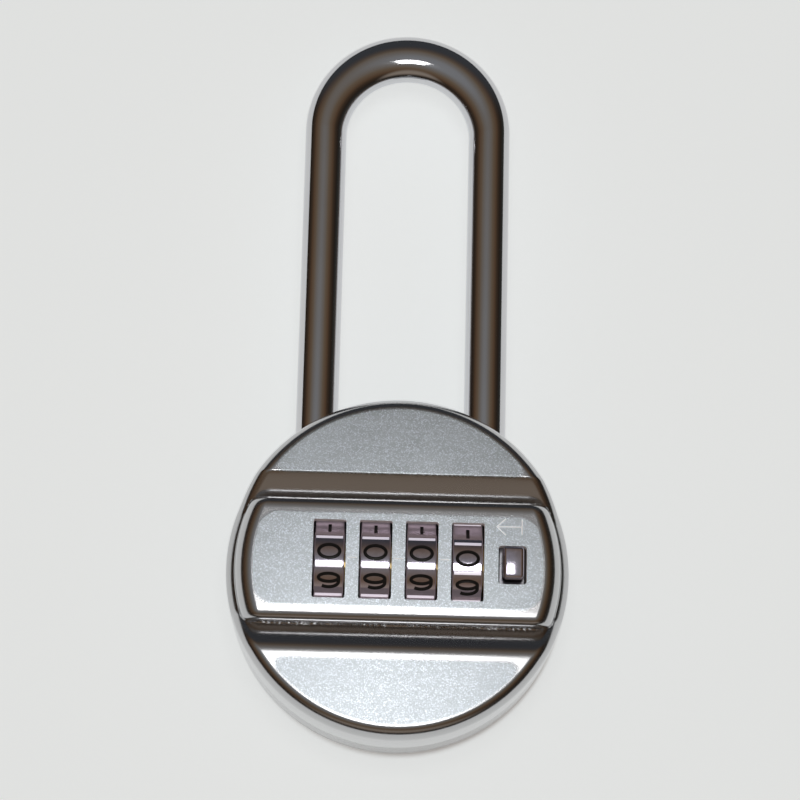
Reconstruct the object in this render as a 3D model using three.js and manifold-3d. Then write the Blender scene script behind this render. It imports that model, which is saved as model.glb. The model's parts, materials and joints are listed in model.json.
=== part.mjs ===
// A round four-dial combination padlock with a long shackle, lying on its back.
// +Z is the face's outward normal, +Y points to the shackle's crown, +X is to the right of the face.
// The origin is the centre of the rear cover's flat back. All sizes are in millimetres.

import * as THREE from 'three';
import { mergeVertices } from 'three/addons/utils/BufferGeometryUtils.js';
import Module from 'manifold-3d';

const wasm = await Module();
wasm.setup();

// ---- Driving dimensions ----

const clearance = 0.3; // between pieces that touch or nest
const roundSides = 72; // facets of the body's turned surfaces
const smallSides = 20; // facets of pins, bores and screws

const body = {
  radius: 25.4,
  thickness: 21,
  draft: 0.2, // how much smaller the front shell is at the top of its wall
  wall: 1.2,
  rimFillet: 2.4,
  plate: 1.5, // front shell's thickness under the raised pads
  seam: 3.2, // height of the rear cover's edge
  coverRim: 3.2, // radius of the rear cover's rounded edge
  coverWall: 1.2,
  pocketEdge: 0.5, // from the middle pad's edge to the pocket under it
};

const groove = {
  beyondDials: 2.4, // from the dials' bay to the middle of each groove's floor
  depth: 2,
  floor: 1.4,
  innerSlope: 1.8, // run of the wall that rises to the middle pad
  outerSlope: 2, // run of the wall that rises to the outer pad
};

const dial = {
  count: 4,
  pitch: 6.75,
  lineY: 0.75, // the dial axis, measured from the body's centre
  cornerRadius: 7.2,
  width: 4.4,
  proud: 0.4, // of the corners above the face
  sides: 10,
  bore: 4.2,
  restTurns: [9, 9, 9, 4], // degrees that each dial stands past its index line
};

const windowCut = { sideGap: 0.21, endGap: 0.93 };

// Room round the dials, and the comb of leaves below them.
const bay = { side: 0.4, below: 1.4 };
const detent = { thick: 0.4, strip: 1.8, leafHalf: 1.5, pastAxis: 2.6, gap: 0.4 };

const hub = { radius: 3.9, bore: 1.8, collar: 0.6, gateDepth: 1.3, gateWidth: 1.2 };

const shaft = { radius: 1.3, endWall: 2.9 };

const shackle = {
  wireRadius: 3.2,
  halfSpacing: 12.7,
  depth: 9.5, // of the wire's centre below the face
  archY: 69.6,
  travel: 6,
  seatWall: 0.95, // from the dials' bay to the heel's end
  toeDepth: 5, // of the toe inside the body
  crownSwell: 0.15, // the crown is pressed this much wider in its own plane
  crownThin: 0.14, // and this much thinner across it
  chamfer: 0.6,
};

const heel = { springBore: 1.5, boreDepth: 7, flat: 2, shoulder: 0.8, pinRadius: 0.8, pinReach: 4.1 };

const toe = { notchDepth: 1.2, notchLow: 1.2, notchHeight: 2.1 };

const slot = { width: 4.15, height: 5.7, fromLastDial: 6.555, belowDialLine: 0.3, margin: 0.25 };

const button = {
  width: 3.1,
  height: 4.9,
  shiftX: 0.12, // from the slot's centre
  shiftY: 0.25,
  proud: 1.2,
  travel: 0.5,
  flange: 0.4,
  crown: 0.5, // bevel round the top
};

const slide = {
  plate: 0.8,
  armHalf: 1.8, // half the arm's width, under the button
  finWidth: 0.5,
  finGap: 0.8,
  barWidth: 2.1,
  barHeight: 2.8,
  noseWidth: 2,
  noseHeight: 2.1,
  noseGap: 0.4, // from the nose to the shackle's toe
};

const heelSpring = { wire: 0.22, coil: 1.05, turns: 8 };
const buttonCoil = { wire: 0.18, coil: 0.75, turns: 6, length: 5.2 };
const stepsPerTurn = 10;

const screw = { shank: 1.1, head: 2, headHeight: 2, recess: 0.4, grip: 4, fromRim: 2.9 };
const driver = { width: 0.6, depth: 0.5 }; // the slot in a screw's head
const screwAngles = [95, 166, 227, 313]; // degrees round the body from +X

// ---- Sizes that follow from them ----

const top = body.thickness;
const shellBore = body.radius - body.wall;
const shellFoot = body.seam + clearance;
const coreRadius = shellBore - clearance;
const grooveUnderside = top - groove.depth - body.plate;
const padUnderside = top - body.plate;
const legZ = top - shackle.depth;
const axisDepth = dial.cornerRadius - dial.proud;
const dialZ = top - axisDepth;
const dialX = Array.from({ length: dial.count }, (_, i) => (i - (dial.count - 1) / 2) * dial.pitch);
const legBore = shackle.wireRadius + clearance;
const partingGap = clearance / 2;
const coreTop = grooveUnderside - clearance;
const innerCoreTop = padUnderside - clearance;
const sweep = dial.cornerRadius + bay.side;
const grooveOffset = sweep + groove.beyondDials;
const middlePadHalf = grooveOffset - groove.floor / 2 - groove.innerSlope;
const pocketHalf = middlePadHalf - body.pocketEdge;
const windowHalfWidth = dial.width / 2 + windowCut.sideGap;
const windowHalfHeight = Math.sqrt(dial.cornerRadius ** 2 - (axisDepth - body.plate) ** 2) + windowCut.endGap;
const slotX = dialX.at(-1) + slot.fromLastDial;
const slotY = dial.lineY - slot.belowDialLine;
const buttonX = slotX + button.shiftX;
const buttonY = slotY + button.shiftY;
const pocketX = slotX + slot.width / 2 + slot.margin;
const rearCoreFloor = body.coverWall + clearance;
const rearCoreRadius = coreRadius - clearance;
const over = 1; // how far a cutter reaches past what it cuts
const overlap = 0.2; // how far joined solids run into each other

const dialBay = {
  left: dialX[0] - dial.width / 2 - bay.side,
  right: dialX.at(-1) + dial.width / 2 + hub.collar + slide.finGap + slide.finWidth + bay.side,
  low: dial.lineY - sweep,
  high: dial.lineY + sweep,
  floor: dialZ - dial.cornerRadius - bay.below,
};

const slideTop = coreTop - 0.1;
const armBottom = slideTop - slide.plate;
const barLow = dialBay.high + clearance;
const barHigh = barLow + slide.barWidth;
const barBottom = slideTop - slide.barHeight;
const finBottom = dialZ - 0.5;
const heelY = dialBay.high + shackle.seatWall;
const toeY = Math.sqrt(body.radius ** 2 - shackle.halfSpacing ** 2) - shackle.toeDepth;
const heelPinY = heelY + heel.shoulder + shackle.travel + 0.1 + heel.pinRadius;
const heelPinZ = legZ - heel.flat - 0.2 - heel.pinRadius;
const heelPinOuter = Math.sqrt((rearCoreRadius - clearance) ** 2 - (heelPinY + heel.pinRadius) ** 2);
const heelPinSpan = [-heelPinOuter, heel.pinReach - shackle.halfSpacing];
const noseTip = shackle.halfSpacing - shackle.wireRadius - slide.noseGap;
const notchLow = toeY + toe.notchLow;
const screwRing = coreRadius - screw.fromRim;
const screwPlaces = screwAngles.map(THREE.MathUtils.degToRad).map((angle) => [
  screwRing * Math.cos(angle),
  screwRing * Math.sin(angle),
]);
const screwTop = legZ + screw.grip;

// ---- Solid helpers ----

// A geometry as a manifold solid: shared points merged, zero-area faces dropped, faces pointing out.
function solid(geometry) {
  const bare = geometry.index ? geometry.clone() : geometry;
  bare.deleteAttribute('normal');
  bare.deleteAttribute('uv');
  const merged = mergeVertices(bare, 1e-4);
  const points = merged.attributes.position.array;
  const triangles = [];
  for (let i = 0; i < merged.index.count; i += 3) {
    const corner = [0, 1, 2].map((k) => merged.index.getX(i + k));
    if (new Set(corner).size === 3) triangles.push(corner);
  }
  const at = (i) => new THREE.Vector3().fromArray(points, 3 * i);
  let volume = 0;
  for (const [a, b, c] of triangles) volume += at(a).dot(at(b).cross(at(c)));
  if (volume < 0) triangles.forEach((corner) => corner.reverse());
  const vertProperties = Float32Array.from(points);
  const triVerts = Uint32Array.from(triangles.flat());
  return new wasm.Manifold(new wasm.Mesh({ numProp: 3, vertProperties, triVerts }));
}

function toGeometry(shape) {
  const mesh = shape.getMesh();
  const geometry = new THREE.BufferGeometry();
  geometry.setAttribute('position', new THREE.BufferAttribute(mesh.vertProperties, 3));
  geometry.setIndex(new THREE.BufferAttribute(mesh.triVerts, 1));
  geometry.computeVertexNormals();
  return geometry;
}

const join = (...solids) => solids.reduce((sum, next) => sum.add(next));
const cut = (from, ...cutters) => cutters.reduce((rest, next) => rest.subtract(next), from);

function block([x0, x1], [y0, y1], [z0, z1]) {
  const box = new THREE.BoxGeometry(x1 - x0, y1 - y0, z1 - z0);
  return solid(box.translate((x0 + x1) / 2, (y0 + y1) / 2, (z0 + z1) / 2));
}

function rodX(radius, [x0, x1], y, z, sides = smallSides) {
  const rod = new THREE.CylinderGeometry(radius, radius, x1 - x0, sides).rotateZ(Math.PI / 2);
  return solid(rod.translate((x0 + x1) / 2, y, z));
}

function rodY(radius, x, [y0, y1], z, sides = smallSides) {
  const rod = new THREE.CylinderGeometry(radius, radius, y1 - y0, sides);
  return solid(rod.translate(x, (y0 + y1) / 2, z));
}

function rodZ(radius, x, y, [z0, z1], sides = smallSides) {
  const rod = new THREE.CylinderGeometry(radius, radius, z1 - z0, sides).rotateX(Math.PI / 2);
  return solid(rod.translate(x, y, (z0 + z1) / 2));
}

// Turns a profile of [radius, height] points about the vertical axis.
function turned(profile, sides = roundSides) {
  const points = profile.map(([r, z]) => new THREE.Vector2(r, z));
  return solid(new THREE.LatheGeometry(points, sides).rotateX(Math.PI / 2));
}

// A quarter round from one profile point to the next, about a centre.
function quarter(centre, radius, from, to, steps = 5) {
  return Array.from({ length: steps + 1 }, (_, i) => {
    const angle = THREE.MathUtils.degToRad(from + ((to - from) * i) / steps);
    return [centre[0] + radius * Math.cos(angle), centre[1] + radius * Math.sin(angle)];
  });
}

// A [y, z] outline carried along X.
function prismX(outline, [x0, x1]) {
  const shape = new THREE.Shape(outline.map(([y, z]) => new THREE.Vector2(y, z)));
  const prism = new THREE.ExtrudeGeometry(shape, { depth: x1 - x0, bevelEnabled: false });
  const yzToX = new THREE.Matrix4().makeBasis(
    new THREE.Vector3(0, 1, 0),
    new THREE.Vector3(0, 0, 1),
    new THREE.Vector3(1, 0, 0),
  );
  return solid(prism.applyMatrix4(yzToX).translate(x0, 0, 0));
}

// A compression spring along +Z from the origin.
function coil({ wire, coil: outer, turns }, length) {
  const radius = outer - wire;
  class Helix extends THREE.Curve {
    getPoint(t, target = new THREE.Vector3()) {
      const angle = 2 * Math.PI * turns * t;
      return target.set(radius * Math.cos(angle), radius * Math.sin(angle), length * t);
    }
  }
  const section = new THREE.Shape().absarc(0, 0, wire, 0, 2 * Math.PI);
  const steps = turns * stepsPerTurn;
  const settings = { steps, curveSegments: 6, bevelEnabled: false, extrudePath: new Helix() };
  return new THREE.ExtrudeGeometry(section, settings);
}

// ---- The body's shells and cores ----

function grooveCutter(side) {
  const at = (offset) => dial.lineY + side * offset;
  const inner = grooveOffset - groove.floor / 2;
  const outer = grooveOffset + groove.floor / 2;
  const rise = 1 + over / groove.depth;
  const outline = [
    [at(inner), top - groove.depth],
    [at(outer), top - groove.depth],
    [at(outer + groove.outerSlope * rise), top + over],
    [at(inner - groove.innerSlope * rise), top + over],
  ];
  return prismX(side > 0 ? outline : outline.reverse(), [-body.radius - over, body.radius + over]);
}

function frontShell() {
  const wallTop = body.radius - body.draft;
  const outside = turned([
    [0, shellFoot],
    [body.radius, shellFoot],
    ...quarter([wallTop - body.rimFillet, top - body.rimFillet], body.rimFillet, 0, 90),
    [0, top],
  ]);
  const bore = rodZ(shellBore, 0, 0, [shellFoot - over, grooveUnderside], roundSides);
  const middlePocket = block(
    [-pocketX, pocketX],
    [dial.lineY - pocketHalf, dial.lineY + pocketHalf],
    [grooveUnderside - over, padUnderside],
  );
  const outerPockets = [1, -1].map((side) => {
    const near = dial.lineY + side * (grooveOffset + groove.floor / 2 + groove.outerSlope + body.wall);
    const far = side * body.radius;
    const segment = block([-pocketX, pocketX], [Math.min(near, far), Math.max(near, far)], [0, padUnderside]);
    const disc = rodZ(shellBore - body.wall, 0, 0, [grooveUnderside - over, padUnderside], roundSides);
    return disc.intersect(segment);
  });
  const windows = dialX.map((x) =>
    block(
      [x - windowHalfWidth, x + windowHalfWidth],
      [dial.lineY - windowHalfHeight, dial.lineY + windowHalfHeight],
      [padUnderside - over, top + over],
    ),
  );
  const buttonSlot = block(
    [slotX - slot.width / 2, slotX + slot.width / 2],
    [slotY - slot.height / 2, slotY + slot.height / 2],
    [padUnderside - over, top + over],
  );
  const legHoles = [-1, 1].map((side) =>
    rodY(legBore, side * shackle.halfSpacing, [0, body.radius + over], legZ, 32),
  );
  const open = cut(outside, bore, middlePocket, ...outerPockets, grooveCutter(1), grooveCutter(-1));
  return cut(open, ...windows, buttonSlot, ...legHoles);
}

function rearCover() {
  const rim = quarter([body.radius - body.coverRim, body.coverRim], body.coverRim, -90, 0);
  return turned([
    [0, 0],
    ...rim.filter(([, z]) => z <= body.seam),
    [coreRadius, body.seam],
    [coreRadius, body.coverWall],
    [0, body.coverWall],
  ]);
}

// The room that the locking slide and the button need, along their whole travel.
function slideBay() {
  const roomy = ([x0, x1], [y0, y1], z0) => {
    const x = [x0 - clearance - button.travel, x1 + clearance];
    return block(x, [y0 - clearance, y1 + clearance], [z0 - clearance, top]);
  };
  return [
    roomy(slideParts.bar.x, slideParts.bar.y, Math.min(barBottom, finBottom)),
    roomy(slideParts.arm.x, slideParts.arm.y, armBottom),
    roomy(slideParts.leg.x, slideParts.leg.y, legZ - 1),
    roomy(slideParts.nose.x, slideParts.nose.y, legZ - 1),
    roomy(...buttonFlange, armBottom),
  ];
}

function legBores() {
  const far = body.radius + over;
  return [
    rodY(legBore, -shackle.halfSpacing, [heelY - clearance, far], legZ, 32),
    rodY(legBore, shackle.halfSpacing, [toeY - clearance, far], legZ, 32),
  ];
}

function shaftChannels() {
  const ends = [
    [dialBay.left - shaft.endWall - clearance, dialBay.left + over],
    [dialBay.right - over, dialBay.right + shaft.endWall + clearance],
  ];
  return ends.flatMap((span) => [
    rodX(shaft.radius + clearance, span, dial.lineY, dialZ),
    block(
      span,
      [dial.lineY - shaft.radius - clearance, dial.lineY + shaft.radius + clearance],
      [legZ - over, dialZ],
    ),
  ]);
}

function springPocket() {
  const x = [slideParts.bar.x[0] - buttonCoil.length - 2 * clearance, slideParts.bar.x[0]];
  return block(x, [barLow - clearance, barHigh], [buttonCoilZ - buttonCoil.coil - clearance, top]);
}

function coreFront() {
  const base = rodZ(coreRadius, 0, 0, [legZ + partingGap, coreTop], roundSides);
  const raised = block(
    [clearance - pocketX, pocketX - clearance],
    [dial.lineY - pocketHalf + clearance, dial.lineY + pocketHalf - clearance],
    [legZ + partingGap, innerCoreTop],
  );
  const room = block([dialBay.left, dialBay.right], [dialBay.low, dialBay.high], [0, top]);
  const tapped = screwPlaces.map(([x, y]) => rodZ(screw.shank + clearance, x, y, [0, screwTop + clearance]));
  const moving = [room, ...slideBay(), ...legBores(), springPocket()];
  return cut(join(base, raised), ...moving, ...shaftChannels(), ...tapped);
}

function coreRear() {
  const base = rodZ(rearCoreRadius, 0, 0, [rearCoreFloor, legZ - partingGap], roundSides);
  const saddles = [
    [dialBay.left - shaft.endWall + 0.4, dialBay.left - clearance],
    [dialBay.right + clearance, dialBay.right + shaft.endWall - 0.4],
  ].map((span) =>
    block(
      span,
      [dial.lineY - shaft.radius, dial.lineY + shaft.radius],
      [legZ - over, dialZ - shaft.radius - clearance],
    ),
  );
  const room = block([dialBay.left, dialBay.right], [dialBay.low, dialBay.high], [dialBay.floor, top]);
  const nose = block(
    [slideParts.leg.x[0] - 1, slideParts.nose.x[1] + clearance],
    [barLow - clearance, slideParts.nose.y[1] + clearance],
    [legZ - 1 - clearance, top],
  );
  const pinHole = rodX(
    heel.pinRadius + clearance,
    [heelPinSpan[0] - clearance, heelPinSpan[1] + clearance],
    heelPinY,
    heelPinZ,
  );
  const screwHoles = screwPlaces.flatMap(([x, y]) => [
    rodZ(screw.shank + clearance, x, y, [0, legZ]),
    rodZ(screw.head + clearance, x, y, [0, rearCoreFloor + screw.recess + screw.headHeight + clearance]),
  ]);
  return cut(join(base, ...saddles), room, nose, ...legBores(), pinHole, ...screwHoles);
}

function coreScrew([x, y]) {
  const low = rearCoreFloor + screw.recess;
  const high = low + screw.headHeight;
  const profile = [
    [0, low],
    [screw.head, low],
    [screw.head, high],
    [screw.shank, high],
    [screw.shank, screwTop],
    [0, screwTop],
  ];
  const blank = turned(profile, smallSides);
  const driverSlot = block(
    [-screw.head - over, screw.head + over],
    [-driver.width / 2, driver.width / 2],
    [low - over, low + driver.depth],
  );
  return cut(blank, driverSlot).translate([x, y, 0]);
}

// ---- Dials, hubs and shaft ----

function numberDial(i) {
  const half = dial.width / 2;
  const ring = new THREE.CylinderGeometry(dial.cornerRadius, dial.cornerRadius, dial.width, dial.sides);
  const facetUp = Math.PI / dial.sides;
  const rest = THREE.MathUtils.degToRad(dial.restTurns[i]);
  const decagon = solid(ring.rotateZ(Math.PI / 2).rotateX(-(facetUp + rest)));
  return cut(decagon, rodX(dial.bore, [-half - over, half + over], 0, 0, 32));
}

function dialHub() {
  const span = [-dial.width / 2 + 0.2, dial.width / 2 + hub.collar];
  const tube = cut(rodX(hub.radius, span, 0, 0, 32), rodX(hub.bore, [span[0] - over, span[1] + over], 0, 0));
  const gate = block(
    [dial.width / 2, span[1] + over],
    [hub.radius - hub.gateDepth, hub.radius + over],
    [-hub.gateWidth / 2, hub.gateWidth / 2],
  );
  return cut(tube, gate);
}

const dialShaft = () =>
  rodX(shaft.radius, [dialBay.left - shaft.endWall, dialBay.right + shaft.endWall], dial.lineY, dialZ);

// A comb of leaves, one under each dial, joined by a strip along one side.
function detentSpring() {
  const z = [dialBay.floor + detent.gap, dialBay.floor + detent.gap + detent.thick];
  const stripY = [dialBay.low + detent.gap, dialBay.low + detent.gap + detent.strip];
  const strip = block([dialX[0] - dial.width / 2, dialX.at(-1) + dial.width / 2], stripY, z);
  const leafY = [stripY[1] - overlap, dial.lineY + detent.pastAxis];
  const leaves = dialX.map((x) => block([x - detent.leafHalf, x + detent.leafHalf], leafY, z));
  return join(strip, ...leaves);
}

// ---- Button, slide and springs ----

const finX = dialX.map((x) => x + dial.width / 2 + hub.collar + slide.finGap);

const noseHigh = notchLow + toe.notchHeight - clearance;
const legRight = noseTip - 1.5;
const slideParts = {
  bar: { x: [finX[0], buttonX + slide.armHalf], y: [barLow, barHigh] },
  arm: { x: [buttonX - slide.armHalf, buttonX + slide.armHalf], y: [buttonY - button.height / 2, barHigh] },
  leg: { x: [legRight - slide.noseWidth, legRight], y: [barLow, noseHigh] },
  nose: { x: [legRight - 0.5, noseTip], y: [notchLow + clearance, noseHigh] },
};

const buttonFlange = [
  [buttonX - button.width / 2 - button.flange, buttonX + button.width / 2 + button.flange],
  [buttonY - button.height / 2 - button.flange, buttonY + button.height / 2 + button.flange],
];
const buttonCoilZ = slideTop - 1;

function lockingSlide() {
  const { bar, arm, leg, nose } = slideParts;
  const fins = finX.map((x) =>
    block([x, x + slide.finWidth], [dial.lineY + hub.radius - 1, barLow + 0.5], [finBottom, barBottom + 2]),
  );
  return join(
    block(bar.x, bar.y, [barBottom, slideTop]),
    block(arm.x, arm.y, [armBottom, slideTop]),
    block(leg.x, leg.y, [legZ + 0.5, slideTop]),
    block(nose.x, nose.y, [legZ + 0.5, legZ + 0.5 + slide.noseHeight]),
    ...fins,
  );
}

function releaseButton() {
  const { width, height, crown, proud } = button;
  const foot = slideTop + clearance;
  const [left, right] = [buttonX - width / 2, buttonX + width / 2];
  const [low, high] = [buttonY - height / 2, buttonY + height / 2];
  const corners = [[left, low], [right, low], [right, high], [left, high]];
  const outline = new THREE.Shape(corners.map(([x, y]) => new THREE.Vector2(x, y)));
  const settings = {
    depth: top + proud - crown - foot,
    bevelEnabled: true,
    bevelThickness: crown,
    bevelSize: crown,
    bevelOffset: -crown,
    bevelSegments: 2,
  };
  const cap = solid(new THREE.ExtrudeGeometry(outline, settings).translate(0, 0, foot));
  const underCap = block([0, body.radius], [-body.radius, body.radius], [0, foot]);
  return cut(join(cap, block(...buttonFlange, [foot, innerCoreTop])), underCap);
}

function buttonSpring() {
  const wire = coil(buttonCoil, buttonCoil.length).rotateY(Math.PI / 2);
  const x = slideParts.bar.x[0] - buttonCoil.length - clearance - buttonCoil.wire;
  return solid(wire.translate(x, (barLow + barHigh) / 2, buttonCoilZ));
}

// ---- Shackle, its spring and pin ----

// A straight cylinder is bent along the U: heel leg, half circle, toe leg.
function bentWire() {
  const { wireRadius, halfSpacing, archY, chamfer, crownSwell, crownThin } = shackle;
  const arcSteps = 24;
  const stations = [
    { leg: -1, y: heelY, scale: 1 - chamfer / wireRadius },
    { leg: -1, y: heelY + chamfer, scale: 1 },
    ...Array.from({ length: arcSteps + 1 }, (_, i) => ({ angle: Math.PI * (1 - i / arcSteps), scale: 1 })),
    { leg: 1, y: toeY + chamfer, scale: 1 },
    { leg: 1, y: toeY, scale: 1 - chamfer / wireRadius },
  ];
  const count = stations.length - 1;
  const wire = new THREE.CylinderGeometry(wireRadius, wireRadius, count, 24, count);
  const points = wire.attributes.position;
  for (let i = 0; i < points.count; i += 1) {
    const station = stations[Math.round(count / 2 + points.getY(i))];
    const outward = points.getX(i) * station.scale;
    const across = points.getZ(i) * station.scale;
    if (station.leg) {
      points.setXYZ(i, station.leg * (halfSpacing + outward), station.y, legZ + across);
    } else {
      const press = Math.sin(station.angle);
      const reach = halfSpacing + outward * (1 + crownSwell * press);
      points.setXYZ(
        i,
        reach * Math.cos(station.angle),
        archY + reach * Math.sin(station.angle),
        legZ + across * (1 - crownThin * press),
      );
    }
  }
  return solid(wire);
}

function shackleSolid() {
  const heelBore = rodY(heel.springBore, -shackle.halfSpacing, [0, heelY + heel.boreDepth], legZ, 16);
  const grooveHigh = heelPinY + heel.pinRadius + 0.2;
  const heelFlat = block(
    [-shackle.halfSpacing - shackle.wireRadius - over, -shackle.halfSpacing + shackle.wireRadius + over],
    [heelY + heel.shoulder, grooveHigh],
    [0, legZ - heel.flat],
  );
  const toeInside = shackle.halfSpacing - shackle.wireRadius;
  const toeNotch = block(
    [toeInside - over, toeInside + toe.notchDepth],
    [notchLow, notchLow + toe.notchHeight],
    [0, top],
  );
  return cut(bentWire(), heelBore, heelFlat, toeNotch);
}

function shackleSpring() {
  const low = heelY + heelSpring.wire + 0.1;
  const length = heel.boreDepth - 4 * heelSpring.wire;
  const wire = coil(heelSpring, length).rotateX(-Math.PI / 2);
  return solid(wire.translate(-shackle.halfSpacing, low, legZ));
}

const heelPin = () => rodX(heel.pinRadius, heelPinSpan, heelPinY, heelPinZ);

// ---- The scene graph ----

const finishes = {
  satin_steel: { color: 0xb4b6ba, roughness: 0.42, metalness: 1 },
  chrome: { color: 0xd8d9dd, roughness: 0.08, metalness: 1 },
  die_cast_zinc: { color: 0x8d8f92, roughness: 0.6, metalness: 0.9 },
  brass: { color: 0xb8964f, roughness: 0.35, metalness: 1 },
  spring_steel: { color: 0x70737a, roughness: 0.3, metalness: 1 },
};

function node(name, shape, finish) {
  const material = new THREE.MeshStandardMaterial(finishes[finish]);
  material.name = finish;
  const mesh = new THREE.Mesh(toGeometry(shape), material);
  mesh.name = name;
  return mesh;
}

const padlock = new THREE.Group();

const casing = new THREE.Group();
casing.add(node('front_shell', frontShell(), 'satin_steel'));
casing.add(node('rear_cover', rearCover(), 'satin_steel'));
casing.add(node('core_front', coreFront(), 'die_cast_zinc'));
casing.add(node('core_rear', coreRear(), 'die_cast_zinc'));
casing.add(node('dial_shaft', dialShaft(), 'spring_steel'));
casing.add(node('detent_spring', detentSpring(), 'spring_steel'));
casing.add(node('button_spring', buttonSpring(), 'spring_steel'));
casing.add(node('shackle_spring', shackleSpring(), 'spring_steel'));
casing.add(node('heel_pin', heelPin(), 'spring_steel'));
screwPlaces.forEach((place, i) => {
  casing.add(node(`core_screw_${i + 1}`, coreScrew(place), 'spring_steel'));
});
padlock.add(casing);

dialX.forEach((x, i) => {
  const wheel = new THREE.Group();
  wheel.position.set(x, dial.lineY, dialZ);
  wheel.add(node(`dial_${i + 1}`, numberDial(i), 'chrome'));
  wheel.add(node(`hub_${i + 1}`, dialHub(), 'brass'));
  padlock.add(wheel);
});

const release = new THREE.Group();
release.add(node('release_button', releaseButton(), 'chrome'));
release.add(node('locking_slide', lockingSlide(), 'spring_steel'));
padlock.add(release);

padlock.add(node('shackle', shackleSolid(), 'chrome'));

export default padlock;
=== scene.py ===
import json
import math

import bmesh
import bpy
from mathutils import Matrix, Vector


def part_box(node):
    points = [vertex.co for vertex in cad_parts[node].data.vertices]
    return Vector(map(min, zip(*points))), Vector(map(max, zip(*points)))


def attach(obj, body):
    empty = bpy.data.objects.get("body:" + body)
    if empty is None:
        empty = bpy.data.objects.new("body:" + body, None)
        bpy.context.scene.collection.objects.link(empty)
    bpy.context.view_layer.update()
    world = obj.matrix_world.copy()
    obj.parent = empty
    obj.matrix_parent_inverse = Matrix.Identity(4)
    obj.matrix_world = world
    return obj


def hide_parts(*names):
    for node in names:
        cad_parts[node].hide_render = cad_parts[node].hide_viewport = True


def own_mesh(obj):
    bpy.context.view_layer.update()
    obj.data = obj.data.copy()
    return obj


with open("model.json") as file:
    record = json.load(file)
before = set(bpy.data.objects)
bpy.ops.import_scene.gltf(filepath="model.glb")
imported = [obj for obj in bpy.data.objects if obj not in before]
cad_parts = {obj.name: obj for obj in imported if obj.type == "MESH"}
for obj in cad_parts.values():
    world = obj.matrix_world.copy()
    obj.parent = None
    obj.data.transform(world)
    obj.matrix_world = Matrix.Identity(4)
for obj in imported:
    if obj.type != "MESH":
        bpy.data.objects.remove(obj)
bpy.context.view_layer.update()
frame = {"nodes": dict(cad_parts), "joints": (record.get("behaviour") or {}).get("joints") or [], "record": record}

mm = 0.001
weldGap = 0.001 * mm
planeGap = 0.0001 * mm


# ---- Shader helper ----

class Wire:
    # One socket of a material's tree. Arithmetic on it adds Math nodes.

    def __init__(self, tree, socket=None):
        self.tree = tree
        self.socket = socket

    def node(self, kind, settings, sockets, out=0):
        made = self.tree.nodes.new("ShaderNode" + kind)
        for name, value in settings.items():
            if name == "stops":
                self.setStops(made.color_ramp, value)
            else:
                setattr(made, name, value)
        for name, value in sockets.items():
            if isinstance(value, Wire):
                self.tree.links.new(value.socket, made.inputs[name])
            else:
                made.inputs[name].default_value = value
        return Wire(self.tree, made.outputs[out])

    def setStops(self, ramp, stops):
        while len(ramp.elements) < len(stops):
            ramp.elements.new(0.5)
        for element, (place, colour) in zip(ramp.elements, stops):
            element.position = place
            element.color = (*colour, 1)

    def maths(self, operation, first, second):
        return self.node("Math", {"operation": operation}, {0: first, 1: second})

    def __add__(self, other):
        return self.maths("ADD", self, other)

    def __sub__(self, other):
        return self.maths("SUBTRACT", self, other)

    def __mul__(self, other):
        return self.maths("MULTIPLY", self, other)

    def above(self, low, high):
        # 0 below low, 1 above high, smooth between
        settings = {"interpolation_type": "SMOOTHSTEP"}
        return self.node("MapRange", settings, {"Value": self, "From Min": low, "From Max": high})

    def between(self, low, high):
        # a value of 0 to 1 spread over low to high
        return self * (high - low) + low

    def colours(self, first, second):
        # first where this is 0 and second where it is 1, each a plain colour or another socket
        low, high = (end if isinstance(end, Wire) else (*end, 1) for end in (first, second))
        return self.node("Mix", {"data_type": "RGBA"}, {"Factor": self, 6: low, 7: high}, out=2)


def newMaterial(name, baseColour, roughness, metallic=1.0):
    material = bpy.data.materials.new(name)
    material.use_nodes = True
    tree = material.node_tree
    shader = tree.nodes["Principled BSDF"]
    shader.inputs["Base Color"].default_value = (*baseColour, 1)
    shader.inputs["Roughness"].default_value = roughness
    shader.inputs["Metallic"].default_value = metallic
    place = Wire(tree).node("TexCoord", {}, {}, out=3)
    return material, shader, place


def plug(shader, name, wire):
    shader.id_data.links.new(wire.socket, shader.inputs[name])


def noise(place, scale, detail=2.0):
    return place.node("TexNoise", {}, {"Vector": place, "Scale": scale, "Detail": detail})


def stretched(place, scale):
    return place.node("Mapping", {}, {"Vector": place, "Scale": scale})


def bump(height, strength, distance):
    return height.node("Bump", {}, {"Height": height, "Strength": strength, "Distance": distance})


# ---- Finishes ----

# Bead-blasted flats with faint cloudy patches, a painted glint on some grains, and polished edges.
satinLook = {
    "flatColour": (0.38, 0.41, 0.435),
    "patchColour": (0.47, 0.51, 0.545),
    "glintColour": (0.66, 0.71, 0.77),
    "edgeColour": (0.54, 0.54, 0.55),
    "flatRoughness": 0.30,
    "edgeRoughness": 0.15,
    "grainSize": 0.13 * mm,
    "grainDepth": 0.028 * mm,
}


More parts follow.
